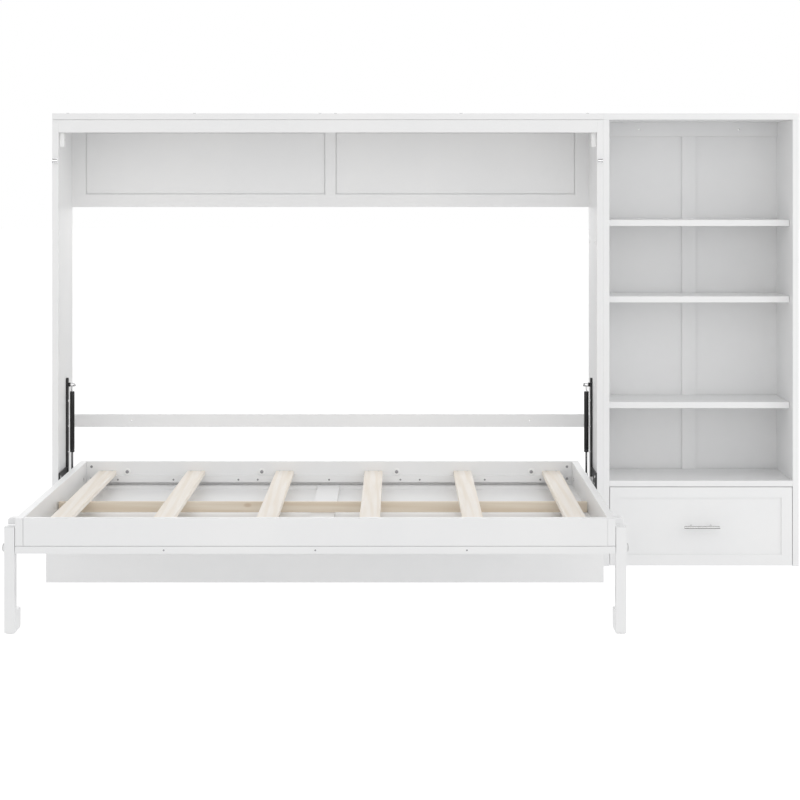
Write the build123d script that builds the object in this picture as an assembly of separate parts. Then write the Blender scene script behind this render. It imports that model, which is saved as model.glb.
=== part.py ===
from build123d import *
import os

# Side-folding murphy wall bed with an attached open shelf unit and one drawer.
# Working frame: X across the width (0 = middle of the bed cabinet), Y towards the wall
# (0 = front plane of the cabinet), Z up from the floor. Millimetres.

os.makedirs("parts", exist_ok=True)

# ---- whole object ------------------------------------------------------------------
HEIGHT = 1750.0
DEPTH = 356.0
BED_OUTER_X = 1063.0
UNIT_RIGHT_X = 1818.0
BED_FRONT_Y = -1221.0
CENTRE_X = (UNIT_RIGHT_X - BED_OUTER_X) / 2
CENTRE_Y = (DEPTH + BED_FRONT_Y) / 2

# ---- boards ------------------------------------------------------------------------
PANEL = 24.0
TOP_T = 24.0
TOP_Z = HEIGHT - TOP_T
GLIDE_T = 3.0
BACK_Y = 338.0
BED_INNER_X = BED_OUTER_X - PANEL
FASCIA_Z = 1676.0
UPPER_BACK_Z = 1385.0
STRETCHER_Z = (501.0, 552.0)
EDGE_R = 1.2
SEAM = 1.2
SEAM_TIGHT = 0.4
SEAM_DEEP = 6.0

# ---- shelf unit --------------------------------------------------------------------
UNIT_LEFT_X = BED_OUTER_X
UNIT_IN_L = UNIT_LEFT_X + PANEL
UNIT_IN_R = UNIT_RIGHT_X - PANEL
UNIT_MID = (UNIT_IN_L + UNIT_IN_R) / 2
SHELF_T = 24.0
SHELF_SETBACK = 62.0
SHELF_TOPS = (1338.0, 1041.0, 630.0)
DECK_Z = (310.0, 333.0)
CLEAT_Z = 1668.0
BATTEN_W = 55.0

# ---- drawer ------------------------------------------------------------------------
FRONT_GAP = 2.0
FRONT_Z = (6.0, 308.0)
FRONT_T = 18.0
SHAKER_MARGIN = 41.0
RUNNER_T = 12.7
RUNNER_Y = (20.0, 320.0)
RUNNER_Z = 118.0
RUNNER_H = 45.0
BOX_Z = (40.0, 240.0)
BOX_BACK_Y = 318.0
BOX_T = 12.0
HANDLE_LEN = 138.0
HANDLE_CC = 76.0
HANDLE_OUT = 32.0

# ---- bed ---------------------------------------------------------------------------
BED_X = 984.5
RAIL_T = 26.0
BED_BACK_Y = 216.0
LEAF_Z = 266.0
RAIL_Z = 291.0
LEDGER_Z = 303.0
RAIL_TOP = 382.0
BED_IN_X = BED_X - RAIL_T
BED_IN_FRONT = BED_FRONT_Y + RAIL_T
BED_IN_BACK = BED_BACK_Y - RAIL_T
LEAF_MARGIN = 80.0
CENTRE_STILE = 85.0
SLAT_W = 70.0
SLAT_T = 18.0
SLAT_TOP = 346.0
SLAT_X = [-875.5 + 350.2 * i for i in range(6)]
LEDGER = 20.0
LEDGER_X = 925.0
BEAM_Y = (-513.0, -491.0)
BOARD_Y = (-316.0, -296.0)
BOARD_X = BED_INNER_X - 5.0

# ---- fold pivot, gas springs -------------------------------------------------------
PIVOT_Y = 116.0
PIVOT_Z = 320.0
PIN_R = 6.0
RUN_FIT = 0.05
STRUT_X = 1015.5
STRUT_Y = 196.0
STRUT_TOP_Z = 685.0
STRUT_LOW_Z = 325.0
TUBE_R = 9.0
TUBE_LEN = 241.0
TUBE_START = 26.0
ROD_R = 4.0
ROD_LEN = 230.0

# ---- legs --------------------------------------------------------------------------
LEG_X = (986.0, 1019.5)
LEG_PIVOT_Y = -1201.0
LEG_PIVOT_Z = 331.0
LEG_HALF = 20.0
LEG_TOP = 354.0
FOOT_BACK_Y = -1108.0
FOOT_H = 72.0
PAD_T = 4.0
LEG_BOLT_R = 5.0
BUMPER_Z = 283.0

# ---- lock bolts --------------------------------------------------------------------
LOCK_Z = 1568.0
LOCK_Y = -9.5
LOCK_R = 8.0
LOCK_PIN_R = 3.5


def block(x, y, z):
    """Box between two limits on each axis, given in any order."""
    size = [abs(a[1] - a[0]) for a in (x, y, z)]
    mid = [(a[0] + a[1]) / 2 for a in (x, y, z)]
    return Pos(*mid) * Box(*size)


def board(x, y, z, radius=EDGE_R):
    """A board with its twelve edges eased."""
    body = block(x, y, z)
    return fillet(body.edges(), radius)


def rod_x(x, y, z, radius):
    return Pos((x[0] + x[1]) / 2, y, z) * Rot(0, 90, 0) * Cylinder(radius, abs(x[1] - x[0]))


def rod_y(x, y, z, radius):
    return Pos(x, (y[0] + y[1]) / 2, z) * Rot(90, 0, 0) * Cylinder(radius, abs(y[1] - y[0]))


def rod_z(x, y, z, radius):
    return Pos(x, y, (z[0] + z[1]) / 2) * Cylinder(radius, abs(z[1] - z[0]))


def side(sign, values):
    """The same distances from the middle, on the left (-1) or right (+1) side."""
    return tuple(sign * v for v in values)


def group(items):
    return Compound(children=list(items))


def cut_all(body, tools):
    for tool in tools:
        body = body - tool
    return body


def save(shape, name):
    export_step(Pos(-CENTRE_X, -CENTRE_Y, 0) * shape, f"parts/{name}.step")


# ---- fastener positions shared by a piece and the boards it goes through -----------
BRACKET_SCREWS = [(24, 280), (24, 344), (60, 312), (160, 280), (196, 420), (196, 520), (196, 620)]
TOP_SCREW_X = [-1004, -515, -30, 30, 515, 1004]
STOP_SCREW = (43.0, 1648.0)
UNIT_BOLTS = [(60, 700), (60, 1250), (300, 700), (300, 1250)]
RAIL_CAMS = [(sign * 938.5, z) for sign in (-1, 1) for z in (314.0, 361.5)]
WASHER_BOLTS = [(x, 342.0) for x in (-797, -266, 266, 797)]
LOW_SCREWS = [-832, -613, -357, -281, 0, 281, 357, 613, 832]
LEAF_SCREWS = [-497.0, 0.0, 497.0]


# ---- bed cabinet -------------------------------------------------------------------
def bracket_screw(sign, y, z, hole=False):
    inner = 1031.0 if y > 180 else 1034.0
    extra = RUN_FIT if hole else 0.0
    shaft = rod_x(side(sign, (inner, 1055.0)), y, z, 2.2 + extra)
    if hole:
        return shaft
    head = rod_x(side(sign, (inner - 2.5, inner)), y, z, 5.5)
    return shaft + fillet(head.edges(), 0.9)


def bed_side(sign):
    body = board(side(sign, (BED_INNER_X, BED_OUTER_X)), (0, DEPTH), (GLIDE_T, TOP_Z))
    holes = [bracket_screw(sign, y, z, True) for y, z in BRACKET_SCREWS]
    holes.append(rod_x(side(sign, (BED_INNER_X - 1, 1053)), *STOP_SCREW, 2.25))
    holes.append(top_seam())
    if sign > 0:
        holes += [rod_x((BED_INNER_X - 1, BED_OUTER_X + 1), y, z, 3.25) for y, z in UNIT_BOLTS]
    return cut_all(body, holes)


def top_screw(x, hole=False):
    extra = 0.05 if hole else 0.0
    shaft = rod_z(x, 12, (1700, HEIGHT + (1 if hole else 0)), 2.4 + extra)
    if hole:
        return shaft
    head = rod_z(x, 12, (HEIGHT, HEIGHT + 1.5), 6.0)
    return shaft + fillet(head.edges().group_by(Axis.Z)[-1], 0.8)


def cabinet_top():
    body = board((-BED_OUTER_X, BED_OUTER_X), (0, DEPTH), (TOP_Z, HEIGHT))
    return cut_all(body, [top_screw(x, True) for x in TOP_SCREW_X])


def top_seam():
    """Narrow open joint that shows as a line under the front edge of the top."""
    return block((-BED_OUTER_X - 1, BED_OUTER_X + 1), (-1, SEAM_DEEP), (TOP_Z - SEAM, TOP_Z + 1))


def top_fascia():
    body = board((-BED_INNER_X, BED_INNER_X), (0, PANEL), (FASCIA_Z, TOP_Z))
    return cut_all(body, [top_screw(x, True) for x in TOP_SCREW_X] + [top_seam()])


def upper_back_members():
    """Shaker frame: two rails between end stiles, with a centre stile."""
    y = (BACK_Y, DEPTH)
    low = UPPER_BACK_Z + 50.0
    high = TOP_Z - 40.0
    members = [
        block((-BED_INNER_X, -BED_INNER_X + 55), y, (UPPER_BACK_Z, TOP_Z)),
        block((BED_INNER_X - 55, BED_INNER_X), y, (UPPER_BACK_Z, TOP_Z)),
        block((-BED_INNER_X + 55, BED_INNER_X - 55), y, (UPPER_BACK_Z, low)),
        block((-BED_INNER_X + 55, BED_INNER_X - 55), y, (high, TOP_Z)),
        block((-20, 20), y, (low, high)),
    ]
    return members, low, high


def upper_back_panel(sign, grow=0.0):
    _, low, high = upper_back_members()
    reach = 8.0 + grow
    x = side(sign, (20 - reach, BED_INNER_X - 55 + reach))
    return block(x, (344 - grow, 350 + grow), (low - reach, high + reach))


def wall_hole(x, z, y=(BACK_Y - 1, DEPTH + 1)):
    return rod_y(x, y, z, 3.0)


def upper_back_frame():
    members, _, _ = upper_back_members()
    grooves = [upper_back_panel(s, 0.1) for s in (-1, 1)]
    holes = [wall_hole(x, 1704.0) for x in (-800, 800)]
    return group(cut_all(m, grooves + holes) for m in members)


def back_stretcher():
    body = board((-BED_INNER_X, BED_INNER_X), (BACK_Y, DEPTH), STRETCHER_Z)
    return cut_all(body, [wall_hole(x, 526.5) for x in (-800, 800)])


def stop_block(sign):
    body = board(side(sign, (1020.0, BED_INNER_X)), (PANEL, 61.0), (1621.0, FASCIA_Z), 3.0)
    return body - rod_x(side(sign, (1019, 1040)), *STOP_SCREW, 2.25)


def pivot_bracket(sign):
    plate = block(side(sign, (1034, BED_INNER_X)), (2, 210), (262, 362))
    plate = fillet(plate.edges().filter_by(Axis.X), 6.0)
    bar = block(side(sign, (1031, BED_INNER_X)), (182, 210), (262, 712))
    bar = fillet(bar.edges().filter_by(Axis.X).group_by(Axis.Z)[-1], 10.0)
    spacer = rod_x(side(sign, (1023, 1031)), STRUT_Y, STRUT_TOP_Z, 8.0)
    body = plate + bar + spacer
    holes = [bracket_screw(sign, y, z, True) for y, z in BRACKET_SCREWS]
    holes.append(rod_x(side(sign, (1020, BED_INNER_X)), STRUT_Y, STRUT_TOP_Z, 4.0))
    return cut_all(body, holes)


def pivot_pin(sign):
    shaft = rod_x(side(sign, (962, 1034)), PIVOT_Y, PIVOT_Z, PIN_R)
    flange = rod_x(side(sign, (1021.5, 1034)), PIVOT_Y, PIVOT_Z, 12.5)
    return shaft + fillet(flange.edges().sort_by(Axis.X)[0 if sign > 0 else -1], 1.5)


def gas_upper_stud(sign):
    bolt = rod_x(side(sign, (1003, BED_INNER_X)), STRUT_Y, STRUT_TOP_Z, 4.0)
    plane = Plane(origin=(sign * 1006.2, STRUT_Y, STRUT_TOP_Z), z_dir=(1, 0, 0))
    nut = extrude(plane * RegularPolygon(8.0, 6), 3.2, both=True)
    return bolt + nut


def cabinet_screws():
    items = [top_screw(x) for x in TOP_SCREW_X]
    for sign in (-1, 1):
        shaft = rod_x(side(sign, (1020, 1053)), *STOP_SCREW, 2.2)
        head = rod_x(side(sign, (1019.6, 1022)), *STOP_SCREW, 2.2)
        items.append(shaft + head)
    for y, z in UNIT_BOLTS:
        bolt = rod_x((BED_INNER_X - 2.5, UNIT_IN_L + 2.5), y, z, 3.2)
        cap_l = rod_x((BED_INNER_X - 2.5, BED_INNER_X), y, z, 7.0)
        cap_r = rod_x((UNIT_IN_L, UNIT_IN_L + 2.5), y, z, 7.0)
        items.append(bolt + cap_l + cap_r)
    return group(items)


def lock_barrel(sign):
    plate = block(side(sign, (1041.9, 1060.4)), (-1.5, 0), (LOCK_Z - 10, LOCK_Z + 10))
    barrel = rod_x(side(sign, (1041.9, 1060.4)), LOCK_Y, LOCK_Z, LOCK_R)
    barrel = chamfer(barrel.edges().filter_by(GeomType.CIRCLE), 1.0)
    bore = rod_x(side(sign, (1041, 1061)), LOCK_Y, LOCK_Z, LOCK_PIN_R + RUN_FIT)
    return plate + barrel - bore


def lock_pin(sign):
    pin = rod_x(side(sign, (1041.4, 1060.0)), LOCK_Y, LOCK_Z, LOCK_PIN_R)
    tip = pin.edges().sort_by(Axis.X)[0 if sign > 0 else -1]
    return chamfer(tip, 1.0)


def floor_glides():
    spots = [-1051, 1050, 1076, 1806]
    return group(rod_z(x, y, (0, GLIDE_T), 9.0) for x in spots for y in (40, 316))


# ---- shelf unit --------------------------------------------------------------------
def pin_spots():
    return [(y, top - SHELF_T - 2.5) for top in SHELF_TOPS for y in (95.0, 305.0)]


def shelf_pin(sign, y, z, hole=False):
    wall = UNIT_IN_R if sign > 0 else UNIT_IN_L
    extra = 0.05 if hole else 0.0
    deep = rod_x((wall, wall + sign * 10), y, z, 2.5 + extra)
    if hole:
        return deep
    flange = rod_x((wall - sign * 0.8, wall), y, z, 4.0)
    return deep + flange + rod_x((wall - sign * 9, wall), y, z, 2.5)


def shelf_side(sign):
    outer = UNIT_RIGHT_X if sign > 0 else UNIT_LEFT_X
    body = board((outer, outer - sign * PANEL), (0, DEPTH), (GLIDE_T, TOP_Z))
    holes = [shelf_pin(sign, y, z, True) for y, z in pin_spots()]
    if sign < 0:
        holes += [rod_x((outer - 1, outer + 25), y, z, 3.25) for y, z in UNIT_BOLTS]
    return cut_all(body, holes)


def cleat_holes():
    return [wall_hole(UNIT_MID + x, 1696.0, (328, 354)) for x in (-200, 200)]


def shelf_backs():
    y = (347.0, 353.0)
    z = (12.0, TOP_Z)
    halves = [block((UNIT_IN_L, UNIT_MID), y, z), block((UNIT_MID, UNIT_IN_R), y, z)]
    return group(cut_all(half, cleat_holes()) for half in halves)


def shelf_cleat():
    body = board((UNIT_IN_L, UNIT_IN_R), (329, 347), (CLEAT_Z, TOP_Z))
    return cut_all(body, cleat_holes())


def adjustable_shelves():
    x = (UNIT_IN_L + 1, UNIT_IN_R - 1)
    return group(board(x, (SHELF_SETBACK, BACK_Y), (t - SHELF_T, t)) for t in SHELF_TOPS)


def drawer_runner(sign):
    """Fixed channel of a drawer runner, open towards the drawer."""
    wall = UNIT_IN_R if sign > 0 else UNIT_IN_L
    lip = wall - sign * 9.5
    z = (RUNNER_Z, RUNNER_Z + RUNNER_H)
    channel = block((wall, lip), RUNNER_Y, z)
    inside = block((wall - sign * 1.2, lip - sign), (0, 400), (z[0] + 1.2, z[1] - 1.2))
    return channel - inside


def drawer_slide(sign):
    """Moving member, screwed to the drawer side and running in the channel."""
    wall = UNIT_IN_R if sign > 0 else UNIT_IN_L
    x = (wall - sign * 2.0, wall - sign * RUNNER_T)
    return block(x, (22, 318), (RUNNER_Z + 6, RUNNER_Z + RUNNER_H - 6))


# ---- drawer ------------------------------------------------------------------------
def drawer_front():
    x = (UNIT_IN_L + FRONT_GAP, UNIT_IN_R - FRONT_GAP)
    body = board(x, (0, FRONT_T), FRONT_Z)
    m = SHAKER_MARGIN
    recess = block((x[0] + m, x[1] - m), (-1, 4), (FRONT_Z[0] + m, FRONT_Z[1] - m))
    holes = [rod_y(UNIT_MID + s * HANDLE_CC / 2, (-1, FRONT_T + 1), 158.5, 2.05) for s in (-1, 1)]
    return cut_all(body - recess, holes)


def drawer_limits():
    return UNIT_IN_L + RUNNER_T, UNIT_IN_R - RUNNER_T


def drawer_bottom(grow=0.0):
    x0, x1 = drawer_limits()
    reach = BOX_T - 6 - grow
    return block((x0 + reach, x1 - reach), (FRONT_T, BOX_BACK_Y - 6 + grow), (52 - grow, 58 + grow))


def drawer_box():
    x0, x1 = drawer_limits()
    groove = drawer_bottom(0.1)
    left = block((x0, x0 + BOX_T), (FRONT_T, BOX_BACK_Y), BOX_Z)
    right = block((x1 - BOX_T, x1), (FRONT_T, BOX_BACK_Y), BOX_Z)
    back = block((x0 + BOX_T, x1 - BOX_T), (BOX_BACK_Y - BOX_T, BOX_BACK_Y), BOX_Z)
    return group(piece - groove for piece in (left, right, back))


def drawer_handle():
    z = 158.5
    bar = rod_x((UNIT_MID - HANDLE_LEN / 2, UNIT_MID + HANDLE_LEN / 2), -HANDLE_OUT, z, 5.5)
    bar = chamfer(bar.edges().filter_by(GeomType.CIRCLE), 0.8)
    for s in (-1, 1):
        x = UNIT_MID + s * HANDLE_CC / 2
        bar = bar + rod_y(x, (-HANDLE_OUT, 4.0), z, 4.0)
        bar = bar + rod_y(x, (4.0, FRONT_T), z, 2.0)
        bar = bar + rod_y(x, (FRONT_T, FRONT_T + 2.5), z, 4.5)
    return bar


# ---- bed ---------------------------------------------------------------------------
def rail_cam(x, z, front):
    wall = BED_IN_FRONT if front else BED_IN_BACK
    way = -1 if front else 1
    return rod_y(x, (wall, wall + way * 11), z, 5.0)


def washer_bolt(x, z, radius=4.0):
    return rod_y(x, (BED_IN_BACK - 3.5, BED_BACK_Y), z, radius)


def low_screw(x):
    face = BED_IN_BACK - LEDGER
    return rod_y(x, (face - 1, face + 1.5), 313.0, 3.8) + rod_y(x, (face, face + 38), 313.0, 2.0)


def rail_front():
    body = board((-BED_IN_X, BED_IN_X), (BED_FRONT_Y, BED_IN_FRONT), (RAIL_Z, RAIL_TOP))
    y = (BED_FRONT_Y - 1, BED_FRONT_Y + SEAM_DEEP)
    z = (RAIL_Z - 1, RAIL_TOP + 1)
    ends = [
        block(side(s, (BED_IN_X - gap, BED_IN_X + 1)), y, z)
        for s, gap in ((-1, SEAM), (1, SEAM_TIGHT))
    ]
    return cut_all(body, ends + [rail_cam(x, z, True) for x, z in RAIL_CAMS])


def rail_back():
    body = board((-BED_IN_X, BED_IN_X), (BED_IN_BACK, BED_BACK_Y), (RAIL_Z, RAIL_TOP))
    tools = [rail_cam(x, z, False) for x, z in RAIL_CAMS]
    tools += [washer_bolt(x, z) for x, z in WASHER_BOLTS]
    tools += [low_screw(x) for x in LOW_SCREWS]
    return cut_all(body, tools)


def bed_rail_side(sign):
    body = board(side(sign, (BED_IN_X, BED_X)), (BED_FRONT_Y, BED_BACK_Y), (RAIL_Z, RAIL_TOP))
    bush = rod_x(side(sign, (950, 990)), PIVOT_Y, PIVOT_Z, 10.0)
    bolt = rod_x(side(sign, (966, 990)), LEG_PIVOT_Y, LEG_PIVOT_Z, LEG_BOLT_R)
    return body - bush - bolt


def rail_fasteners():
    items = []
    for x, z in RAIL_CAMS:
        items += [rail_cam(x, z, True), rail_cam(x, z, False)]
    for x, z in WASHER_BOLTS:
        head = rod_y(x, (BED_IN_BACK - 7.5, BED_IN_BACK - 3.5), z, 6.5)
        items.append(washer_bolt(x, z) + head)
    items += [low_screw(x) for x in LOW_SCREWS]
    items += [leaf_screw(x) for x in LEAF_SCREWS]
    return group(items)


def rail_washers():
    items = []
    for x, z in WASHER_BOLTS:
        ring = rod_y(x, (BED_IN_BACK - 3.5, BED_IN_BACK), z, 13.5)
        items.append(ring - rod_y(x, (BED_IN_BACK - 4, BED_IN_BACK + 1), z, 4.0))
    return group(items)


def leaf_screw(x, radius=3.0):
    return rod_y(x, (BED_FRONT_Y, BED_FRONT_Y + 14), LEAF_Z + 11, radius)


def leaf_panel(sign, grow=0.0):
    reach = 8.0 + grow
    x = side(sign, (CENTRE_STILE / 2 - reach, BED_X - LEAF_MARGIN + reach))
    y = (BED_FRONT_Y + LEAF_MARGIN - reach, BED_BACK_Y - LEAF_MARGIN + reach)
    return block(x, y, (LEAF_Z + 7 - grow, LEAF_Z + 13 + grow))


def leaf_seam():
    """Narrow open joint all round between the leaf and the rails on it."""
    z = (RAIL_Z - SEAM, RAIL_Z + 1)
    around = block((-BED_X - 1, BED_X + 1), (BED_FRONT_Y - 1, BED_BACK_Y + 1), z)
    inside_x = BED_X - SEAM_DEEP
    inside_y = (BED_FRONT_Y + SEAM_DEEP, BED_BACK_Y - SEAM_DEEP)
    return around - block((-inside_x, inside_x), inside_y, z)


def door_frame():
    """Shaker door leaf under the rails: the face seen when the bed is folded away."""
    z = (LEAF_Z, RAIL_Z)
    inner = (BED_FRONT_Y + LEAF_MARGIN, BED_BACK_Y - LEAF_MARGIN)
    members = [
        block((-BED_X, -BED_X + LEAF_MARGIN), (BED_FRONT_Y, BED_BACK_Y), z),
        block((BED_X - LEAF_MARGIN, BED_X), (BED_FRONT_Y, BED_BACK_Y), z),
        block((-BED_X + LEAF_MARGIN, BED_X - LEAF_MARGIN), (BED_FRONT_Y, inner[0]), z),
        block((-BED_X + LEAF_MARGIN, BED_X - LEAF_MARGIN), (inner[1], BED_BACK_Y), z),
        block((-CENTRE_STILE / 2, CENTRE_STILE / 2), inner, z),
    ]
    tools = [leaf_panel(s, 0.1) for s in (-1, 1)]
    tools += [leaf_screw(x) for x in LEAF_SCREWS]
    tools.append(leaf_seam())
    return group(cut_all(m, tools) for m in members)


def slat_ledgers():
    z = (LEDGER_Z, SLAT_TOP - SLAT_T)
    x = (-LEDGER_X, LEDGER_X)
    front = block(x, (BED_IN_FRONT, BED_IN_FRONT + LEDGER), z)
    back = block(x, (BED_IN_BACK - LEDGER, BED_IN_BACK), z)
    tools = [slat_screw(sx, sy) for sx, sy in screw_spots()]
    tools += [low_screw(sx) for sx in LOW_SCREWS]
    return group(cut_all(piece, tools) for piece in (front, back))


def screw_spots():
    rows = (BED_IN_FRONT + 10, BED_IN_BACK - 10)
    return [(x + dx, y) for x in SLAT_X for dx in (-20, 20) for y in rows]


def slat_screw(x, y):
    top = SLAT_TOP
    head = rod_z(x, y, (top - 2, top), 3.8)
    return head + rod_z(x, y, (top - 30, top - 2), 1.8)


def slats():
    items = []
    for x in SLAT_X:
        slat = board(
            (x - SLAT_W / 2, x + SLAT_W / 2),
            (BED_IN_FRONT + 1, BED_IN_BACK - 1),
            (SLAT_TOP - SLAT_T, SLAT_TOP),
            2.0,
        )
        spots = [s for s in screw_spots() if abs(s[0] - x) < SLAT_W / 2]
        items.append(cut_all(slat, [slat_screw(*s) for s in spots]))
    return group(items)


def support_angles():
    items = []
    for x in (-900, -300, 300, 900):
        flange = block((x - 20, x + 20), (BOARD_Y[1], BOARD_Y[1] + 30), (LEAF_Z - 2, LEAF_Z))
        web = block((x - 20, x + 20), (BOARD_Y[1], BOARD_Y[1] + 2), (LEAF_Z - 32, LEAF_Z))
        items.append(flange + web)
    return group(items)


def hinge_plate(sign):
    plate = block(side(sign, (BED_X, BED_X + 4)), (88, 212), (298, 350))
    plate = fillet(plate.edges().filter_by(Axis.X), 8.0)
    return plate - rod_x(side(sign, (980, 990)), PIVOT_Y, PIVOT_Z, 10.0)


def pivot_bush(sign):
    sleeve = rod_x(side(sign, (BED_IN_X, BED_X + 4)), PIVOT_Y, PIVOT_Z, 10.0)
    collar = rod_x(side(sign, (BED_X + 4, 999)), PIVOT_Y, PIVOT_Z, 13.0)
    bore = rod_x(side(sign, (BED_IN_X - 1, 1000)), PIVOT_Y, PIVOT_Z, PIN_R + RUN_FIT)
    return sleeve + collar - bore


def gas_lower_stud(sign):
    foot = rod_x(side(sign, (BED_X + 4, 992)), STRUT_Y, STRUT_LOW_Z, 9.0)
    return foot + rod_x(side(sign, (992, 1006)), STRUT_Y, STRUT_LOW_Z, 4.0)


def leg_stop(sign):
    body = block(side(sign, (BED_X, 1015)), (-1180, -1140), (355, 377))
    outer = body.edges().filter_by(Axis.Y).group_by(Axis.Z)[-1].sort_by(Axis.X)[-1 if sign > 0 else 0]
    body = fillet(outer, 8.0)
    return fillet(body.edges().filter_by(Axis.X), 2.0)


def leg_pivot_bolt(sign):
    shaft = rod_x(side(sign, (966, 1013)), LEG_PIVOT_Y, LEG_PIVOT_Z, LEG_BOLT_R)
    shaft += rod_x(side(sign, (BED_X, LEG_X[0] - 0.3)), LEG_PIVOT_Y, LEG_PIVOT_Z, 11.0)
    return shaft + rod_x(side(sign, (1013, 1017.8)), LEG_PIVOT_Y, LEG_PIVOT_Z, 9.0)


# ---- legs --------------------------------------------------------------------------
def leg(sign):
    x = side(sign, LEG_X)
    y = (LEG_PIVOT_Y - LEG_HALF, LEG_PIVOT_Y + LEG_HALF)
    post = block(x, y, (PAD_T, LEG_TOP))
    foot = block(x, (y[0], FOOT_BACK_Y), (PAD_T, FOOT_H))
    body = post + foot
    body = fillet(body.edges().filter_by(Axis.X), 7.0)
    body = body - rod_x(side(sign, (985, 1021)), LEG_PIVOT_Y, LEG_PIVOT_Z, LEG_BOLT_R + RUN_FIT)
    body = body - rod_x(side(sign, (1012.9, 1021)), LEG_PIVOT_Y, LEG_PIVOT_Z, 9.1)
    bumper = rod_x(side(sign, (LEG_X[1], 1027)), LEG_PIVOT_Y, BUMPER_Z, 14.0)
    outer = bumper.edges().sort_by(Axis.X)[-1 if sign > 0 else 0]
    return group([body, fillet(outer, 3.0)])


def leg_pad(sign):
    x = side(sign, (LEG_X[0] + 2, LEG_X[1] - 2))
    return block(x, (BED_FRONT_Y + 8, FOOT_BACK_Y - 8), (0, PAD_T))


# ---- gas springs -------------------------------------------------------------------
def strut_rod(sign, z, radius):
    return rod_z(sign * STRUT_X, STRUT_Y, z, radius)


def strut_eye(sign, z, width):
    x = side(sign, (STRUT_X - width / 2, STRUT_X + width / 2))
    hole = side(sign, (STRUT_X - 10, STRUT_X + 10))
    eye = rod_x(x, STRUT_Y, z, 8.0)
    return eye, rod_x(hole, STRUT_Y, z, 4.0 + RUN_FIT)


def gas_cylinder(sign):
    top = STRUT_TOP_Z - TUBE_START
    low = top - TUBE_LEN
    tube = strut_rod(sign, (low, top), TUBE_R)
    tube = fillet(tube.edges().filter_by(GeomType.CIRCLE), 1.5)
    eye, hole = strut_eye(sign, STRUT_TOP_Z, 12.0)
    neck = strut_rod(sign, (top - 1, STRUT_TOP_Z - 5), 3.2)
    bore = strut_rod(sign, (low + 5, top - 5), TUBE_R - 1.2)
    gland = strut_rod(sign, (low - 1, low + 6), ROD_R + RUN_FIT)
    return tube + neck + eye - hole - bore - gland


def gas_rod(sign):
    eye, hole = strut_eye(sign, STRUT_LOW_Z, 11.0)
    rod = strut_rod(sign, (STRUT_LOW_Z + 5, STRUT_LOW_Z + ROD_LEN), ROD_R)
    piston = strut_rod(sign, (STRUT_LOW_Z + ROD_LEN - 8, STRUT_LOW_Z + ROD_LEN), TUBE_R - 1.3)
    return rod + eye - hole + piston


# ---- write every piece -------------------------------------------------------------
def both(maker):
    return group([maker(-1), maker(1)])


PIECES = {
    "cabinet_top": cabinet_top(),
    "top_fascia": top_fascia(),
    "upper_back_frame": upper_back_frame(),
    "upper_back_panels": both(upper_back_panel),
    "back_stretcher": back_stretcher(),
    "stop_blocks": both(stop_block),
    "pivot_pins": both(pivot_pin),
    "gas_upper_studs": both(gas_upper_stud),
    "bracket_screws": group(bracket_screw(s, y, z) for s in (-1, 1) for y, z in BRACKET_SCREWS),
    "lock_barrels": both(lock_barrel),
    "cabinet_screws": cabinet_screws(),
    "shelf_top": board((UNIT_LEFT_X, UNIT_RIGHT_X), (0, DEPTH), (TOP_Z, HEIGHT)),
    "shelf_back_panels": shelf_backs(),
    "shelf_back_batten": block(
        (UNIT_MID - BATTEN_W / 2, UNIT_MID + BATTEN_W / 2), (BACK_Y, 347), (DECK_Z[1], CLEAT_Z)
    ),
    "shelf_back_cleat": shelf_cleat(),
    "adjustable_shelves": adjustable_shelves(),
    "drawer_deck": board((UNIT_IN_L, UNIT_IN_R), (0, BACK_Y), DECK_Z),
    "shelf_pins": group(shelf_pin(s, y, z) for s in (-1, 1) for y, z in pin_spots()),
    "drawer_runners": both(drawer_runner),
    "floor_glides": floor_glides(),
    "rail_front": rail_front(),
    "rail_back": rail_back(),
    "door_frame": door_frame(),
    "door_panels": both(leaf_panel),
    "slat_ledgers": slat_ledgers(),
    "centre_beam": board((-BED_IN_X + 3, BED_IN_X - 3), BEAM_Y, (RAIL_Z, SLAT_TOP - SLAT_T)),
    "slats": slats(),
    "slat_screws": group(slat_screw(x, y) for x, y in screw_spots()),
    "rail_fasteners": rail_fasteners(),
    "rail_washers": rail_washers(),
    "support_board": board((-BOARD_X, BOARD_X), BOARD_Y, (0, LEAF_Z)),
    "support_angles": support_angles(),
    "hinge_plates": both(hinge_plate),
    "pivot_bushes": both(pivot_bush),
    "gas_lower_studs": both(gas_lower_stud),
    "leg_stop_blocks": both(leg_stop),
    "leg_pivot_bolts": both(leg_pivot_bolt),
    "drawer_front": drawer_front(),
    "drawer_box": drawer_box(),
    "drawer_bottom": drawer_bottom(),
    "drawer_handle": drawer_handle(),
    "drawer_slides": both(drawer_slide),
}

for label, sign in (("left", -1), ("right", 1)):
    PIECES[f"bed_side_{label}"] = bed_side(sign)
    PIECES[f"shelf_side_{label}"] = shelf_side(sign)
    PIECES[f"pivot_bracket_{label}"] = pivot_bracket(sign)
    PIECES[f"rail_{label}"] = bed_rail_side(sign)
    PIECES[f"leg_{label}"] = leg(sign)
    PIECES[f"leg_pad_{label}"] = leg_pad(sign)
    PIECES[f"gas_cylinder_{label}"] = gas_cylinder(sign)
    PIECES[f"gas_rod_{label}"] = gas_rod(sign)
    PIECES[f"lock_pin_{label}"] = lock_pin(sign)

for name, shape in PIECES.items():
    save(shape, name)
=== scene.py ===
import math

import bmesh
import bpy
from mathutils import Matrix, Vector


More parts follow.
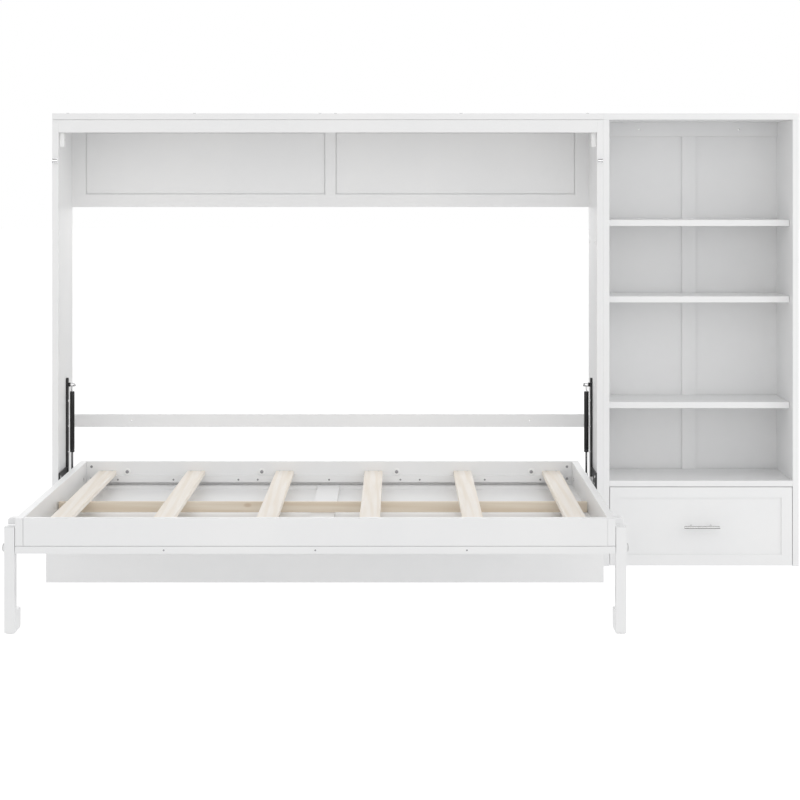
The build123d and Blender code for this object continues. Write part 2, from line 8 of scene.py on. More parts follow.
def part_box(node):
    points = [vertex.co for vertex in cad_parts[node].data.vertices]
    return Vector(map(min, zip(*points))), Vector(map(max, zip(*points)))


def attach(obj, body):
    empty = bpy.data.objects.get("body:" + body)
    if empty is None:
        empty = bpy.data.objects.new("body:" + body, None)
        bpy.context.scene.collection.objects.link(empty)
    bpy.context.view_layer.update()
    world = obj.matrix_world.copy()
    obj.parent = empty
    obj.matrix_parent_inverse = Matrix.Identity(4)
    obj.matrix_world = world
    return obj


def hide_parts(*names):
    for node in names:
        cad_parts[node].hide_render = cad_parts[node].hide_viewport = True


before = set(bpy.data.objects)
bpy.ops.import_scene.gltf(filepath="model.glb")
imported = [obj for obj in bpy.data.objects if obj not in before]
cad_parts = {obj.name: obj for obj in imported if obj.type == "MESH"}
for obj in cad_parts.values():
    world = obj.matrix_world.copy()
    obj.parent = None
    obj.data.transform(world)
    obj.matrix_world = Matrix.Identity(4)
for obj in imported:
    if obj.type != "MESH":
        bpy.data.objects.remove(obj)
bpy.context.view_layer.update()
scene = bpy.context.scene

MM = 0.001
BED_MID_X = sum(corner[0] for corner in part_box("pivot_pins")) / 2

# ---- materials ---------------------------------------------------------------------


def rgb(r, g, b):
    return (r, g, b, 1.0)


class Nodes:
    """A small builder for one material's node tree."""

    def __init__(self, name):
        self.mat = bpy.data.materials.new(name)
        self.mat.use_nodes = True
        self.tree = self.mat.node_tree
        self.bsdf = self.tree.nodes["Principled BSDF"]
        self.coords = self.tree.nodes.new("ShaderNodeTexCoord").outputs["Object"]

    def add(self, kind, **props):
        node = self.tree.nodes.new(kind)
        for key, value in props.items():
            setattr(node, key, value)
        return node

    def link(self, a, b):
        self.tree.links.new(a, b)

    def put(self, socket, value):
        if isinstance(value, bpy.types.NodeSocket):
            self.link(value, socket)
        else:
            socket.default_value = value

    def stretched(self, scale, offset=(0, 0, 0)):
        node = self.add("ShaderNodeMapping")
        node.inputs["Scale"].default_value = scale
        node.inputs["Location"].default_value = offset
        self.link(self.coords, node.inputs["Vector"])
        return node.outputs["Vector"]

    def noise(self, scale, detail=2.0, vector=None, rough=0.5, distortion=0.0):
        node = self.add("ShaderNodeTexNoise")
        node.inputs["Scale"].default_value = scale
        node.inputs["Detail"].default_value = detail
        node.inputs["Roughness"].default_value = rough
        node.inputs["Distortion"].default_value = distortion
        self.link(self.coords if vector is None else vector, node.inputs["Vector"])
        return node.outputs["Fac"]

    def ramp(self, value, stops):
        node = self.add("ShaderNodeValToRGB")
        ramp = node.color_ramp
        ramp.interpolation = "EASE"
        while len(ramp.elements) < len(stops):
            ramp.elements.new(0.5)
        for element, (place, colour) in zip(ramp.elements, stops):
            element.position = place
            element.color = rgb(*colour)
        self.link(value, node.inputs["Fac"])
        return node.outputs["Color"]

    def spread(self, value, low, high, from_low=0.0, from_high=1.0):
        node = self.add("ShaderNodeMapRange")
        for key, number in zip(
            ("From Min", "From Max", "To Min", "To Max"), (from_low, from_high, low, high)
        ):
            node.inputs[key].default_value = number
        self.link(value, node.inputs["Value"])
        return node.outputs["Result"]

    def mix(self, a, b, fac):
        node = self.add("ShaderNodeMix", data_type="RGBA")
        self.put(node.inputs["Factor"], fac)
        self.put(node.inputs["A"], a)
        self.put(node.inputs["B"], b)
        return node.outputs["Result"]

    def maths(self, kind, a, b=0.0):
        node = self.add("ShaderNodeMath", operation=kind)
        self.put(node.inputs[0], a)
        self.put(node.inputs[1], b)
        return node.outputs[0]

    def bump(self, height, strength, distance, before=None):
        node = self.add("ShaderNodeBump")
        node.inputs["Strength"].default_value = strength
        node.inputs["Distance"].default_value = distance
        self.link(height, node.inputs["Height"])
        if before is not None:
            self.link(before, node.inputs["Normal"])
        return node.outputs["Normal"]

    def finish(self, **sockets):
        for key, value in sockets.items():
            self.put(self.bsdf.inputs[key.replace("_", " ")], value)
        return self.mat


# Grey and depth of the bumper's end face: a rubber face, darkened further as painted shade for the
# shading on the knob.
RUBBER_AND_SHADE_GREY = (0.22, 0.22, 0.22)
RUBBER_AND_SHADE_FACE = 2.2


def lacquer(name, rubber_and_shade_past=None):
    """White satin lacquer over a smooth board: faint orange peel and a slight drift of tone.

    On the legs, what lies further from the bed's middle than the given reach is painted grey: partly a
    rubber face on the end of the bumper, partly painted shade standing in for the shading that falls
    on the knob's end.
    """
    n = Nodes(name)
    drift = n.noise(scale=2.3, detail=3.0, rough=0.6)
    mottle = n.noise(scale=38.0, detail=4.0, rough=0.65)
    tone = n.ramp(drift, [(0.3, (0.845, 0.848, 0.852)), (0.7, (0.872, 0.872, 0.872))])
    colour = n.mix(tone, rgb(0.90, 0.90, 0.90), n.spread(mottle, 0.0, 0.16, 0.35, 0.75))
    # Painted grey on the bumper's end: a rubber face, and painted shade standing in for the knob's
    # shading.
    if rubber_and_shade_past is not None:
        split = n.add("ShaderNodeSeparateXYZ")
        n.link(n.coords, split.inputs[0])
        away = n.maths("ABSOLUTE", n.maths("SUBTRACT", split.outputs["X"], BED_MID_X))
        colour = n.mix(colour, rgb(*RUBBER_AND_SHADE_GREY), n.maths("GREATER_THAN", away, rubber_and_shade_past))
    peel = n.noise(scale=420.0)
    sag = n.noise(scale=26.0, detail=1.0)
    sagged = n.bump(sag, strength=0.12, distance=0.0004)
    return n.finish(
        Base_Color=colour,
        Roughness=n.spread(n.noise(scale=14.0, detail=3.0), 0.36, 0.46),
        Normal=n.bump(peel, strength=0.10, distance=0.00018, before=sagged),
        Specular_IOR_Level=0.42,
    )


KNOT_LENGTHENED = 0.55
KNOT_OFFSET = (0.37, 0.11, 0.0)
KNOT_BROWN = (0.46, 0.30, 0.17)


def pine(name, length_axis, light, dark, knot_scale):
    """Planed pale pine with its grain along one axis, soft growth lines and a few small knots."""
    n = Nodes(name)
    grain_scale = [55.0] * 3
    grain_scale[length_axis] = 1.6
    body = n.stretched(grain_scale)
    wander = n.noise(scale=0.9, detail=3.0, vector=body, rough=0.55, distortion=0.35)
    lines = n.add("ShaderNodeTexWave", wave_type="BANDS", bands_direction="DIAGONAL")
    lines.inputs["Scale"].default_value = 0.32
    lines.inputs["Distortion"].default_value = 9.0
    lines.inputs["Detail"].default_value = 3.0
    lines.inputs["Detail Scale"].default_value = 0.7
    n.link(body, lines.inputs["Vector"])
    fibre_scale = [900.0] * 3
    fibre_scale[length_axis] = 14.0
    fibre = n.noise(scale=1.0, vector=n.stretched(fibre_scale))
    deeper = tuple(0.55 * a + 0.45 * b for a, b in zip(light, dark))
    base = n.ramp(wander, [(0.30, light), (0.72, deeper)])
    grown = n.mix(base, rgb(*dark), n.spread(lines.outputs["Fac"], 0.0, 0.38, 0.45, 1.0))
    fibred = n.mix(grown, rgb(*dark), n.spread(fibre, 0.0, 0.22, 0.45, 0.8))
    stretch = [knot_scale] * 3
    stretch[length_axis] = knot_scale * KNOT_LENGTHENED
    cells = n.add("ShaderNodeTexVoronoi", feature="F1")
    cells.inputs["Scale"].default_value = 1.0
    cells.inputs["Randomness"].default_value = 1.0
    n.link(n.stretched(stretch, KNOT_OFFSET), cells.inputs["Vector"])
    ring = n.ramp(
        cells.outputs["Distance"],
        [(0.0, (1, 1, 1)), (0.045, (0.75, 0.75, 0.75)), (0.075, (0, 0, 0))],
    )
    knotted = n.mix(fibred, rgb(*KNOT_BROWN), n.maths("MULTIPLY", ring, 0.55))
    height = n.maths("ADD", n.maths("MULTIPLY", fibre, 0.6), lines.outputs["Fac"])
    return n.finish(
        Base_Color=knotted,
        Roughness=n.spread(fibre, 0.52, 0.70),
        Normal=n.bump(height, strength=0.16, distance=0.0003),
        Specular_IOR_Level=0.32,
    )


def powder_coat(name, colour, rough, grain=650.0):
    """Sprayed steel: a fine pebbled coat, slightly cloudy, rougher on its high spots."""
    n = Nodes(name)
    grit = n.noise(grain, detail=3.0, rough=0.6)
    cloud = n.noise(scale=30.0, detail=3.0)
    pale = tuple(min(1.0, c * 1.7 + 0.012) for c in colour)
    tint = n.mix(rgb(*colour), rgb(*pale), n.spread(cloud, 0.0, 0.45, 0.3, 0.8))
    return n.finish(
        Base_Color=tint,
        Roughness=n.spread(grit, rough - 0.08, rough + 0.10),
        Normal=n.bump(grit, strength=0.28, distance=0.00022),
        Specular_IOR_Level=0.32,
    )


def metal(name, colour, rough, brush_axis=None, strength=0.12):
    """Bare or plated metal, brushed along one axis if it has one."""
    n = Nodes(name)
    if brush_axis is None:
        lines = n.noise(scale=240.0, detail=3.0)
    else:
        brush_scale = [2600.0] * 3
        brush_scale[brush_axis] = 22.0
        lines = n.noise(scale=1.0, vector=n.stretched(brush_scale))
    stain = n.noise(scale=30.0, detail=3.0)
    dull = tuple(c * 0.86 for c in colour)
    return n.finish(
        Base_Color=n.mix(rgb(*colour), rgb(*dull), n.spread(stain, 0.0, 0.7, 0.35, 0.75)),
        Metallic=1.0,
        Roughness=n.spread(lines, max(0.03, rough - 0.06), rough + 0.08),
        Normal=n.bump(lines, strength, distance=0.00008),
    )


def moulded(name, colour, rough):
    """Moulded plastic or rubber with a fine matt grain."""
    n = Nodes(name)
    grain = n.noise(scale=800.0)
    cloud = n.noise(scale=45.0, detail=3.0)
    shade = tuple(c * 0.93 for c in colour)
    return n.finish(
        Base_Color=n.mix(rgb(*colour), rgb(*shade), n.spread(cloud, 0.0, 1.0, 0.35, 0.7)),
        Roughness=n.spread(grain, rough - 0.05, rough + 0.07),
        Normal=n.bump(grain, strength=0.12, distance=0.00012),
    )


SLAT_LIGHT = (0.93, 0.885, 0.83)
SLAT_DARK = (0.82, 0.73, 0.61)
BEAM_LIGHT = (0.83, 0.745, 0.63)
BEAM_DARK = (0.68, 0.56, 0.42)
leg_reach = (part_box("leg_right")[1][0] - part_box("leg_left")[0][0]) / 2
MATERIALS = {
    "white": lacquer("white_lacquer"),
    "leg": lacquer("leg_lacquer", rubber_and_shade_past=leg_reach - RUBBER_AND_SHADE_FACE * MM),
    "pine_y": pine("pine_along_y", 1, SLAT_LIGHT, SLAT_DARK, knot_scale=7.0),
    "pine_x": pine("pine_along_x", 0, BEAM_LIGHT, BEAM_DARK, knot_scale=6.0),
    "black": powder_coat("black_powder_coat", (0.018, 0.018, 0.019), 0.42),
    "gloss_black": powder_coat("black_tube_paint", (0.012, 0.012, 0.013), 0.24, grain=300.0),
    "rod": metal("dark_piston_rod", (0.20, 0.20, 0.21), 0.20),
    "zinc": metal("zinc_plate", (0.88, 0.88, 0.89), 0.24),
    "screw": metal("screw_steel", (0.36, 0.36, 0.37), 0.30),
    "chrome": metal("chrome_plate", (0.80, 0.80, 0.81), 0.06, strength=0.02),
    "nickel": metal("brushed_nickel", (0.80, 0.80, 0.795), 0.08, brush_axis=0, strength=0.02),
    "white_plastic": moulded("white_plastic", (0.95, 0.95, 0.945), 0.30),
    "rubber": moulded("grey_rubber", (0.16, 0.16, 0.16), 0.72),
}

# The finish of each CAD node that stays visible and is not white lacquer.
NODE_FINISH = {
    "leg": ["leg_left", "leg_right"],
    "pine_y": ["slats"],
    "pine_x": ["centre_beam"],
    "black": ["pivot_bracket_left", "pivot_bracket_right"],
    "zinc": [
        "drawer_runners", "drawer_slides", "support_angles", "hinge_plates",
        "shelf_pins", "pivot_bushes", "gas_lower_studs", "leg_pivot_bolts",
    ],
    "chrome": ["lock_pin_left", "lock_pin_right"],
    "white_plastic": ["pivot_pins", "stop_blocks", "floor_glides"],
}


def dress(obj, mat):
    obj.data.materials.clear()
    obj.data.materials.append(mat)


finish_of = {node: key for key, nodes in NODE_FINISH.items() for node in nodes}
for node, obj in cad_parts.items():
    dress(obj, MATERIALS[finish_of.get(node, "white")])

# ---- detail pieces ------------------------------------------------------------------
# Turned, drilled and slotted hardware stands for the plain CAD solids it replaces. Profiles
# are in millimetres, and places and overall sizes come from the CAD solids themselves.

WELD_STEPS_PER_METRE = 50000


def solids(node):
    """Lowest and highest corners of each separate solid in a CAD node, in metres."""
    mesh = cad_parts[node].data
    parent = {}

    def root(key):
        while parent[key] != key:
            parent[key] = parent[parent[key]]
            key = parent[key]
        return key

    keys = [tuple(round(c * WELD_STEPS_PER_METRE) for c in v.co) for v in mesh.vertices]
    for key in keys:
        parent[key] = key
    for poly in mesh.polygons:
        first = root(keys[poly.vertices[0]])
        for index in poly.vertices[1:]:
            parent[root(keys[index])] = first
    groups = {}
    for key, vert in zip(keys, mesh.vertices):
        groups.setdefault(root(key), []).append(vert.co)
    boxes = []
    for points in groups.values():
        low = Vector([min(p[i] for p in points) for i in range(3)])
        high = Vector([max(p[i] for p in points) for i in range(3)])
        boxes.append((low, high))
    return sorted(boxes, key=lambda b: tuple(round(c, 4) for c in b[0]))


def turn_place(origin, axis):
    """Matrix that stands a form, drawn up +Z in millimetres, on a point along an axis."""
    turn = Vector((0, 0, 1)).rotation_difference(Vector(axis)).to_matrix().to_4x4()
    return Matrix.Translation(origin) @ turn @ Matrix.Scale(MM, 4)


def turned(bm, profile, origin, axis, steps=40, ring=False, start=0.0):
    """Solid of revolution from (height, radius) points; a ring closes on itself."""
    place = turn_place(origin, axis)
    loops = []
    for height, radius in profile:
        if radius == 0:
            loops.append([bm.verts.new(place @ Vector((0, 0, height)))])
            continue
        angles = [start + 2 * math.pi * i / steps for i in range(steps)]
        loops.append(
            [bm.verts.new(place @ Vector((radius * math.cos(a), radius * math.sin(a), height)))
             for a in angles]
        )
    pairs = list(zip(loops, loops[1:]))
    if ring:
        pairs.append((loops[-1], loops[0]))
    for low, high in pairs:
        for i in range(steps):
            j = (i + 1) % steps
            corners = [low[i % len(low)], low[j % len(low)], high[j % len(high)], high[i % len(high)]]
            bm.faces.new(list(dict.fromkeys(corners)))
    return loops


def arc(centre, radius, start, end, count):
    """(height, radius) points on a rounded corner; angle 0 points outward, 90 up the axis."""
    points = []
    for i in range(count + 1):
        a = math.radians(start + (end - start) * i / count)
        points.append((centre[0] + radius * math.sin(a), centre[1] + radius * math.cos(a)))
    return points


def cross_outline(arm, half):
    """Corners of an upright cross: its reach and half the width of its arms."""
    quarter = [(arm, -half), (arm, half), (half, half)]
    points = []
    for turn in range(4):
        c, s = (1, 0, -1, 0)[turn], (0, 1, 0, -1)[turn]
        points += [(x * c - y * s, x * s + y * c) for x, y in quarter]
    return points


RECESS_REACH = 0.82
RECESS_HALF_WIDTH = 0.20
RECESS_TAPER = 0.62
HEAD_ROUNDING = 0.62
SUNK_LAND = 0.35


def screw(bm, origin, axis, head_r, head_h, shaft_r, length, flat=0.72, depth=1.6, sunk=False):
    """Cross-recess screw. The origin is the middle of its top face; axis points out of it."""
    rim = head_r * flat
    if sunk:
        body = [(0.0, rim), (0.0, head_r), (-SUNK_LAND, head_r)]
    else:
        round_r = head_h * HEAD_ROUNDING
        body = arc((-round_r, head_r - round_r), round_r, 90, 0, 5)
        body[0] = (0.0, rim)
        body += [(-head_h, head_r)]
    body += [(-head_h, shaft_r), (-length + shaft_r, shaft_r), (-length, 0.0)]
    loops = turned(bm, body, origin, axis, 32)
    place = turn_place(origin, axis)
    cross = cross_outline(rim * RECESS_REACH, rim * RECESS_HALF_WIDTH)
    top = [bm.verts.new(place @ Vector((x, y, 0))) for x, y in cross]
    low = [
        bm.verts.new(place @ Vector((x * RECESS_TAPER, y * RECESS_TAPER, -depth)))
        for x, y in cross
    ]
    edges = []
    for loop in (loops[0], top):
        for a, b in zip(loop, loop[1:] + loop[:1]):
            edges.append(bm.edges.get((a, b)) or bm.edges.new((a, b)))
    bmesh.ops.triangle_fill(bm, use_beauty=True, edges=edges, normal=Vector(axis))
    for i in range(len(cross)):
        j = (i + 1) % len(cross)
        bm.faces.new((top[i], top[j], low[j], low[i]))
    bm.faces.new(low)


def skin(bm, rings):
    """Faces between each ring of points and the next, closed at both ends."""
    for below, above in zip(rings, rings[1:]):
        for i in range(len(below)):
            j = (i + 1) % len(below)
            bm.faces.new((below[i], below[j], above[j], above[i]))
    bm.faces.new(rings[0])
    bm.faces.new(rings[-1])


CORNER_STEPS = 6


def rounded_slab(bm, low, high, corner, ease, axis):
    """Slab with rounded corners seen along one axis and eased rims, between two points."""
    u, v = [i for i in range(3) if i != axis]
    corner, ease = corner * MM, ease * MM
    rings = []
    for level, inset in (
        (low[axis], ease), (low[axis] + ease, 0.0), (high[axis] - ease, 0.0), (high[axis], ease)
    ):
        ring = []
        for quadrant in range(4):
            centre_u = high[u] - corner if quadrant in (0, 3) else low[u] + corner
            centre_v = high[v] - corner if quadrant in (0, 1) else low[v] + corner
            for step in range(CORNER_STEPS + 1):
                a = math.radians(90 * (quadrant + step / CORNER_STEPS))
                at = [0.0, 0.0, 0.0]
                at[axis] = level
                at[u] = centre_u + (corner - inset) * math.cos(a)
                at[v] = centre_v + (corner - inset) * math.sin(a)
                ring.append(bm.verts.new(at))
        rings.append(ring)
    skin(bm, rings)


SHARP_DEGREES = 38


def piece(name, bm, finish, body, slot, *nodes):
    """Turn a built mesh into one named object that rides on a body."""
    bmesh.ops.recalc_face_normals(bm, faces=bm.faces)
    mesh = bpy.data.meshes.new(name)
    bm.to_mesh(mesh)
    bm.free()
    for poly in mesh.polygons:
        poly.use_smooth = True
    mesh.set_sharp_from_angle(angle=math.radians(SHARP_DEGREES))
    obj = bpy.data.objects.new(name, mesh)
    scene.collection.objects.link(obj)
    dress(obj, MATERIALS[finish])
    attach(obj, body)
    if nodes:
        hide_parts(*nodes)


def middle(low, high):
    return (Vector(low) + Vector(high)) / 2


def inward(low, high):
    """Point and axis of an end that faces the middle of the bed."""
    mid = middle(low, high)
    if mid.x > BED_MID_X:
        return Vector((low[0], mid.y, mid.z)), (-1, 0, 0)
    return Vector((high[0], mid.y, mid.z)), (1, 0, 0)


GROOVE_INSET = 10.5
GROOVE_WIDTH = 1.6
GROOVE_DEPTH = 4.0


def grooved_panels():
    """Frame panels with a narrow shadow groove run round the seen face, just inside the frame."""
    start = GROOVE_INSET * MM
    end = (GROOVE_INSET + GROOVE_WIDTH) * MM
    for node, axis, body in (("upper_back_panels", 1, "cabinet"), ("door_panels", 2, "bed")):
        u, v = [i for i in range(3) if i != axis]
        bm = bmesh.new()
        for low, high in solids(node):
            back = high[axis]
            face = low[axis]
            deep = face + GROOVE_DEPTH * MM
            rings = []
            for inset, level in (
                (0.0, back), (0.0, face), (start, face), (start, deep), (end, deep), (end, face)
            ):
                ring = []
                for far_u, far_v in ((False, False), (True, False), (True, True), (False, True)):
                    at = [0.0, 0.0, 0.0]
                    at[axis] = level
                    at[u] = high[u] - inset if far_u else low[u] + inset
                    at[v] = high[v] - inset if far_v else low[v] + inset
                    ring.append(bm.verts.new(at))
                rings.append(ring)
            skin(bm, rings)
        piece(f"{node}_grooved", bm, "white", body, "white_board", node)


def bracket_screws():
    bm = bmesh.new()
    for low, high in solids("bracket_screws"):
        spot, axis = inward(low, high)
        length = (high.x - low.x) / MM
        screw(bm, spot, axis, head_r=5.5, head_h=2.5, shaft_r=2.2, length=length)
    piece("bracket_screws_cross", bm, "zinc", "cabinet", "zinc_steel", "bracket_screws")


def slat_screws():
    bm = bmesh.new()
    for low, high in solids("slat_screws"):
        mid = middle(low, high)
        top = Vector((mid.x, mid.y, high.z))
        screw(
            bm, top, (0, 0, 1), head_r=3.8, head_h=2.0, shaft_r=1.8,
            length=(high.z - low.z) / MM, flat=0.86, depth=1.3, sunk=True,
        )
    piece("slat_screws_cross", bm, "screw", "bed", "zinc_steel", "slat_screws")


# Widths in millimetres that tell the kinds of rail fastener apart.
CAM_NUT_OVER = 12
WASHER_BOLT_OVER = 9
LOW_SCREW_OVER = 7


def rail_fasteners():
    """Cam nuts, washer bolts, low screws and leaf screws, told apart by their width."""
    bm = bmesh.new()
    well = middle(*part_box("slats"))
    for low, high in solids("rail_fasteners"):
        mid = middle(low, high)
        width = (high.x - low.x) / MM
        length = (high.y - low.y) / MM
        face = Vector((mid.x, low.y, mid.z))
        axis = (0, -1, 0)
        if width > CAM_NUT_OVER:
            sizes = dict(head_r=6.5, head_h=4.0, shaft_r=4.0, flat=0.70, depth=2.2)
        elif width > WASHER_BOLT_OVER:
            sizes = dict(head_r=5.0, head_h=length - 0.2, shaft_r=4.8, flat=0.90, depth=2.6, sunk=True)
            if mid.y < well.y:
                face.y = high.y
                axis = (0, 1, 0)
        elif width > LOW_SCREW_OVER:
            sizes = dict(head_r=3.8, head_h=2.5, shaft_r=2.0, flat=0.80, depth=1.4)
        else:
            sizes = dict(head_r=3.0, head_h=2.0, shaft_r=1.6, flat=0.86, depth=1.1, sunk=True)
        screw(bm, face, axis, length=length, **sizes)
    piece("rail_fasteners_cross", bm, "screw", "bed", "zinc_steel", "rail_fasteners")


def rail_washers():
    bm = bmesh.new()
    for low, high in solids("rail_washers"):
        mid = middle(low, high)
        face = Vector((mid.x, high.y, mid.z))
        profile = [(0.0, 4.05), (0.0, 13.5)] + arc((2.0, 12.0), 1.5, 0, 90, 5)
        profile += [(3.5, 6.0), (2.6, 4.05)]
        turned(bm, profile, face, (0, -1, 0), 48, ring=True)
    piece("rail_washers_eased", bm, "white_plastic", "bed", "white_plastic", "rail_washers")


# Sizes in metres that tell the kinds of cabinet screw apart.
TOP_SCREW_TALLER = 0.03
STOP_SCREW_NARROWER = 0.01


def capped_bolt(bm, end, length):
    """Through bolt with a flat cap at each end, from its end on the +X side."""
    cap_r, rounding, cap_h, shaft_r = 7.0, 0.9, 2.5, 3.2
    near = [(0.0, 0.0)] + arc((-rounding, cap_r - rounding), rounding, 90, 0, 4)
    near += [(-cap_h, cap_r), (-cap_h, shaft_r)]
    far = [(-length + cap_h, shaft_r), (-length + cap_h, cap_r)]
    far += arc((-length + rounding, cap_r - rounding), rounding, 0, -90, 4) + [(-length, 0.0)]
    turned(bm, near + far, end, (1, 0, 0), 32)


def cabinet_screws():
    """Screws through the top, the stop-block screws and the white-capped bolts to the shelf unit."""
    bm = bmesh.new()
    capped = bmesh.new()
    for low, high in solids("cabinet_screws"):
        mid = middle(low, high)
        wide = (high.x - low.x) / MM
        if high.z - low.z > TOP_SCREW_TALLER:
            top = Vector((mid.x, mid.y, high.z))
            screw(
                bm, top, (0, 0, 1), head_r=6.0, head_h=1.5, shaft_r=2.4,
                length=(high.z - low.z) / MM, flat=0.62, depth=1.2,
            )
        elif high.y - low.y < STOP_SCREW_NARROWER:
            spot, axis = inward(low, high)
            screw(
                bm, spot, axis, head_r=2.2, head_h=2.0, shaft_r=2.15,
                length=wide, flat=0.8, depth=0.9, sunk=True,
            )
        else:
            capped_bolt(capped, Vector((high.x, mid.y, mid.z)), wide)
    piece("cabinet_screws_cross", bm, "screw", "cabinet", "white_plastic", "cabinet_screws")
    piece("connector_bolts_capped", capped, "white", "cabinet", "white_plastic")


def lock_barrels():
    """Bored barrel with a turned groove near each end, on a thin plate with rounded corners."""
    plate_t, bore, rounding = 1.5, 3.55, 0.9
    barrel_r, groove_r = 8.0, 7.55
    bm = bmesh.new()
    for low, high in solids("lock_barrels"):
        plate_low = (low.x, high.y - plate_t * MM, low.z)
        rounded_slab(bm, plate_low, tuple(high), corner=2.5, ease=0.4, axis=1)
        length = (high.x - low.x) / MM
        rim = barrel_r - rounding
        near = [(3.2, barrel_r), (3.5, groove_r), (4.1, groove_r), (4.4, barrel_r)]
        far = [(length - height, radius) for height, radius in reversed(near)]
        profile = arc((rounding, rim), rounding, -90, 0, 4) + near + far
        profile += arc((length - rounding, rim), rounding, 0, 90, 4)
        profile += [(length, bore + 0.5), (length - 0.5, bore), (0.5, bore), (0.0, bore + 0.5)]
        centre = Vector((low.x, low.y + barrel_r * MM, (low.z + high.z) / 2))
        turned(bm, profile, centre, (1, 0, 0), 48, ring=True)
    piece("lock_barrels_turned", bm, "chrome", "cabinet", "chrome", "lock_barrels")


def drawer_handle():
    """Bar pull: turned bar with eased ends on two posts with flared feet and fixing screws."""
    bar_r, bar_depth, rounding = 5.5, 5.5, 1.2
    half_centres, front_recess = 38, 4
    low, high = (Vector(c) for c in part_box("drawer_handle"))
    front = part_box("drawer_front")
    bm = bmesh.new()
    z = (low.z + high.z) / 2
    length = (high.x - low.x) / MM
    bar = [(0.0, 0.0)] + arc((rounding, bar_r - rounding), rounding, -90, 0, 5)
    bar += arc((length - rounding, bar_r - rounding), rounding, 0, 90, 5) + [(length, 0.0)]
    turned(bm, bar, Vector((low.x, low.y + bar_depth * MM, z)), (1, 0, 0), 48)
    back = (high.y - low.y) / MM
    seat = (front[0][1] + front_recess * MM - low.y) / MM
    for side in (-1, 1):
        post = [(bar_depth, 0.0), (bar_depth, 3.6), (seat - 5.0, 3.6), (seat - 3.0, 3.9)]
        post += [(seat - 1.2, 4.8), (seat, 5.2), (seat, 2.0), (back - 2.5, 2.0)]
        post += [(back - 2.5, 4.5), (back - 0.6, 4.5), (back, 3.9), (back, 0.0)]
        x = (low.x + high.x) / 2 + side * half_centres * MM
        turned(bm, post, Vector((x, low.y, z)), (0, 1, 0), 36)
    piece("drawer_handle_turned", bm, "nickel", "drawer", "brushed_nickel", "drawer_handle")


EYE_R = 8.0
EYE_BORE = 4.05


def eye_ring(bm, centre, width):
    """End eye of a gas spring, turned about the X axis, with eased edges outside and in."""
    half = width / 2
    outside, inside = 0.8, 0.5
    profile = [(-half + outside, EYE_R), (half - outside, EYE_R), (half, EYE_R - outside)]
    profile += [(half, EYE_BORE + inside), (half - inside, EYE_BORE), (-half + inside, EYE_BORE)]
    profile += [(-half, EYE_BORE + inside), (-half, EYE_R - outside)]
    turned(bm, profile, centre, (1, 0, 0), 40, ring=True)


def gas_tube(side):
    """Painted tube rolled in at both ends and crimped near its foot, with its plated eye."""
    neck_length = 34.0
    tube_r, wall_r, rod_hole_r = 9.0, 7.8, 4.15
    low, high = (Vector(c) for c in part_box(f"gas_cylinder_{side}"))
    mid = middle(low, high)
    foot = Vector((mid.x, mid.y, low.z))
    eye = Vector((mid.x, mid.y, high.z - EYE_R * MM))
    top = (high.z - low.z) / MM - neck_length
    bm = bmesh.new()
    tube = [(top - 5, 0.0), (top - 5, wall_r), (6.0, wall_r), (6.0, rod_hole_r), (0.0, rod_hole_r)]
    tube += [(0.0, 5.4), (0.6, 6.2)] + arc((3.0, 7.0), 2.0, -70, 0, 5)
    tube += [(9.0, tube_r), (10.0, 8.35), (11.4, 8.35), (12.4, tube_r)]
    tube += arc((top - 2.4, 6.6), 2.4, 0, 80, 6) + [(top, 0.0)]
    turned(bm, tube, foot, (0, 0, 1), 48)
    node = f"gas_cylinder_{side}"
    piece(f"gas_tube_{side}", bm, "gloss_black", node, "black_steel", node)
    bm = bmesh.new()
    neck = [(top - 0.5, 0.0), (top - 0.5, 4.6), (top + 3.0, 4.6), (top + 3.8, 3.2)]
    neck += [(top + 21.0, 3.2), (top + 21.0, 0.0)]
    turned(bm, neck, foot, (0, 0, 1), 32)
    eye_ring(bm, eye, width=12.0)
    piece(f"gas_tube_eye_{side}", bm, "zinc", node, "zinc_steel")


def gas_rod(side):
    """Hard rod with its piston at the top, and its plated eye with a hexagon collar."""
    rod_r, piston_r = 4.0, 7.7
    low, high = (Vector(c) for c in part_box(f"gas_rod_{side}"))
    mid = middle(low, high)
    foot = Vector((mid.x, mid.y, low.z + EYE_R * MM))
    reach = (high.z - low.z) / MM - EYE_R
    bm = bmesh.new()
    rod = [(7.0, 0.0), (7.0, rod_r), (reach - 8.0, rod_r), (reach - 8.0, 7.1)]
    rod += arc((reach - 7.1, 6.8), 0.9, -90, 0, 3)[1:]
    rod += [(reach - 0.9, piston_r), (reach, 6.8), (reach, 0.0)]
    turned(bm, rod, foot, (0, 0, 1), 32)
    node = f"gas_rod_{side}"
    piece(f"gas_piston_rod_{side}", bm, "rod", node, "dark_rod", node)
    bm = bmesh.new()
    collar = [(5.5, 0.0), (5.5, 5.0), (11.0, 5.0), (12.5, 4.1), (12.5, 0.0)]
    turned(bm, collar, foot, (0, 0, 1), 6)
    eye_ring(bm, foot, width=11.0)
    piece(f"gas_rod_eye_{side}", bm, "zinc", node, "zinc_steel")


def gas_springs():
    for side in ("left", "right"):
        gas_tube(side)
        gas_rod(side)


